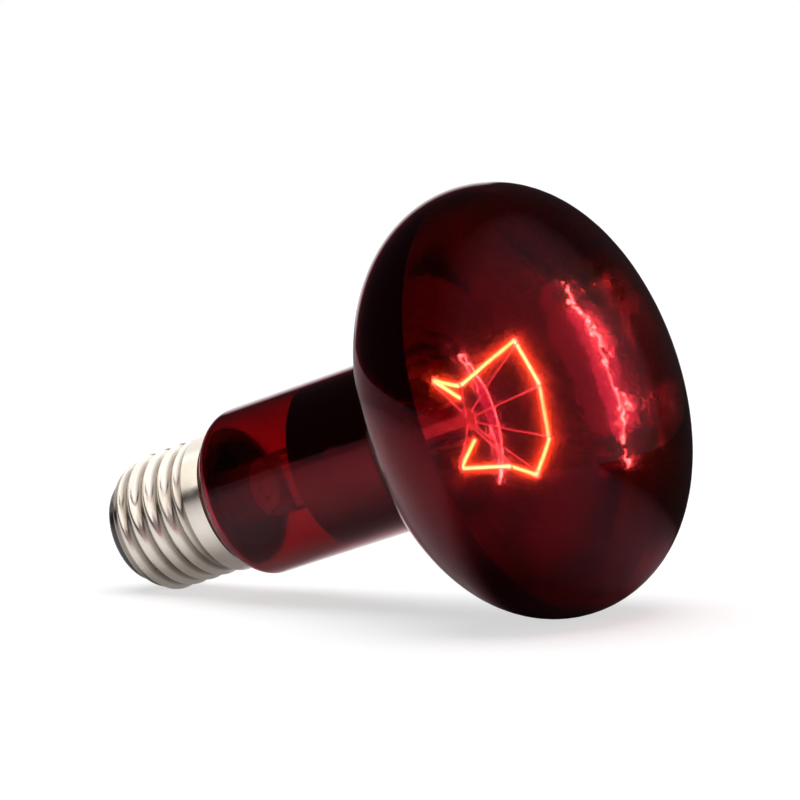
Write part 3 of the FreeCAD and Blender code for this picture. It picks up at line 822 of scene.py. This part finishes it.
def paperFloor(away, left):
    material = bpy.data.materials.new("paperFloor")
    material.use_nodes = True
    tree = material.node_tree
    tree.nodes.clear()
    spot = tree.nodes.new("ShaderNodeTexCoord").outputs["Object"]
    path = tree.nodes.new("ShaderNodeLightPath")
    side = addEdge(tree, addDot(tree, spot, left), stage["sheetSide"])
    near = addEdge(tree, addDot(tree, spot, (1, 0, 0)), stage["sheetEdge"])
    front = addEdge(tree, addDot(tree, spot, away), stage["sheetFront"])
    through = addMath(tree, "MULTIPLY", seenThrough(tree, path), addMath(tree, "MAXIMUM", side, front))
    sheet = addMath(tree, "MAXIMUM", addMath(tree, "MULTIPLY", side, near), through)
    camera = path.outputs["Is Camera Ray"]
    distance = tree.nodes.new("ShaderNodeVectorMath")
    distance.operation = "LENGTH"
    tree.links.new(spot, distance.inputs[0])
    # Painted shade: away from the lamp the sheet's colour darkens, except where it is seen through the
    # glass.
    farShade = addEdge(tree, distance.outputs["Value"], stage["farShadeEdge"])
    sheetShaded = addMix(tree, addMath(tree, "SUBTRACT", farShade, through), stage["sheetColour"], stage["farSheetShade"])
    nearSide = addEdge(tree, addDot(tree, spot, away), stage["tableFront"])
    table = addMix(tree, nearSide, stage["tableColour"], stage["frontTable"])
    colour = addMix(tree, sheet, table, sheetShaded)
    paper = tree.nodes.new("ShaderNodeBsdfDiffuse")
    tree.links.new(addMix(tree, camera, colour, stage["paperColour"]), paper.inputs["Color"])
    glow = tree.nodes.new("ShaderNodeEmission")
    unseen = addMath(tree, "MULTIPLY", sheet, stage["sheetGlow"])
    seen = addMath(tree, "MULTIPLY", camera, stage["paperGlow"])
    tree.links.new(addMath(tree, "MAXIMUM", unseen, seen), glow.inputs["Strength"])
    both = tree.nodes.new("ShaderNodeAddShader")
    out = tree.nodes.new("ShaderNodeOutputMaterial")
    tree.links.new(paper.outputs["BSDF"], both.inputs[0])
    tree.links.new(glow.outputs["Emission"], both.inputs[1])
    tree.links.new(both.outputs["Shader"], out.inputs["Surface"])
    return material


def makeFloor(material):
    bpy.ops.object.select_all(action="DESELECT")
    bpy.ops.mesh.primitive_plane_add(size=stage["floor"])
    floor = bpy.context.object
    floor.name = "paperFloor"
    floor.data.materials.append(material)


def makeCamera():
    data = bpy.data.cameras.new("camera")
    data.lens = view["lens"]
    camera = bpy.data.objects.new("camera", data)
    bpy.context.scene.collection.objects.link(camera)
    camera.location = view["place"]
    away = Vector(view["aim"]) - Vector(view["place"])
    camera.rotation_euler = away.to_track_quat("-Z", "Y").to_euler()
    bpy.context.scene.camera = camera
    return away.normalized()


def makeRoom(away, left):
    world = bpy.data.worlds.new("room")
    bpy.context.scene.world = world
    world.use_nodes = True
    tree = world.node_tree
    tree.nodes.clear()
    toward = tree.nodes.new("ShaderNodeTexCoord").outputs["Generated"]
    path = tree.nodes.new("ShaderNodeLightPath")
    side = addEdge(tree, addDot(tree, toward, left), stage["wallSide"])
    along = addDot(tree, toward, away)
    wall = addMath(tree, "MULTIPLY", side, addEdge(tree, along, stage["wallEdge"]))
    front = addMath(tree, "MAXIMUM", side, addEdge(tree, along, stage["wallFront"]))
    through = addMath(tree, "MULTIPLY", seenThrough(tree, path), front)
    white = addMath(tree, "MAXIMUM", addMath(tree, "MAXIMUM", wall, through), path.outputs["Is Camera Ray"])
    glow = tree.nodes.new("ShaderNodeBackground")
    out = tree.nodes.new("ShaderNodeOutputWorld")
    facing = addEdge(tree, addDot(tree, toward, lampAxis), stage["frontEdge"])
    room = addMix(tree, facing, stage["roomColour"], stage["frontColour"])
    tree.links.new(addMix(tree, white, room, stage["wallColour"]), glow.inputs["Color"])
    tree.links.new(glow.outputs["Background"], out.inputs["Surface"])


def makeBox(name, place, width, height, power, colour):
    data = bpy.data.lights.new(name, "AREA")
    data.shape = "RECTANGLE"
    data.size = width
    data.size_y = height
    data.energy = power
    data.color = colour
    light = bpy.data.objects.new(name, data)
    bpy.context.scene.collection.objects.link(light)
    light.location = place
    toCap = Vector(stage["capSpot"]) - Vector(place)
    light.rotation_euler = toCap.to_track_quat("-Z", "Y").to_euler()
    light.visible_camera = False
    return light


def linkTo(light, names):
    group = bpy.data.collections.new(light.name + "Lit")
    for name in names:
        group.objects.link(bpy.data.objects[name])
    light.light_linking.receiver_collection = group


def makeGlow(name, place, power, colour, radius):
    data = bpy.data.lights.new(name, "POINT")
    data.energy = power
    data.color = colour
    data.shadow_soft_size = radius * mm
    light = bpy.data.objects.new(name, data)
    bpy.context.scene.collection.objects.link(light)
    light.location = lampPlace @ polar(*place)
    light.visible_camera = False
    light.visible_transmission = False
    return light


def makeSun(name, place, strength, size):
    data = bpy.data.lights.new(name, "SUN")
    data.energy = strength
    data.angle = math.radians(size)
    light = bpy.data.objects.new(name, data)
    bpy.context.scene.collection.objects.link(light)
    light.location = place
    light.rotation_euler = (-Vector(place)).to_track_quat("-Z", "Y").to_euler()
    return light


away = makeCamera()
left = Vector((0, 0, 1)).cross(away).normalized()
makeFloor(paperFloor(away, left))
makeRoom(away, left)
linkTo(makeSun("paperSun", stage["sunPlace"], stage["sun"], stage["sunSize"]), ["paperFloor"])
for box in stage["boxes"]:
    linkTo(makeBox(*box), stage["capPieces"])
for spill in coil["spills"]:
    linkTo(makeGlow(*spill), ["mirrorLining"])
bpy.context.scene.view_settings.view_transform = "Standard"
print("stage ready")
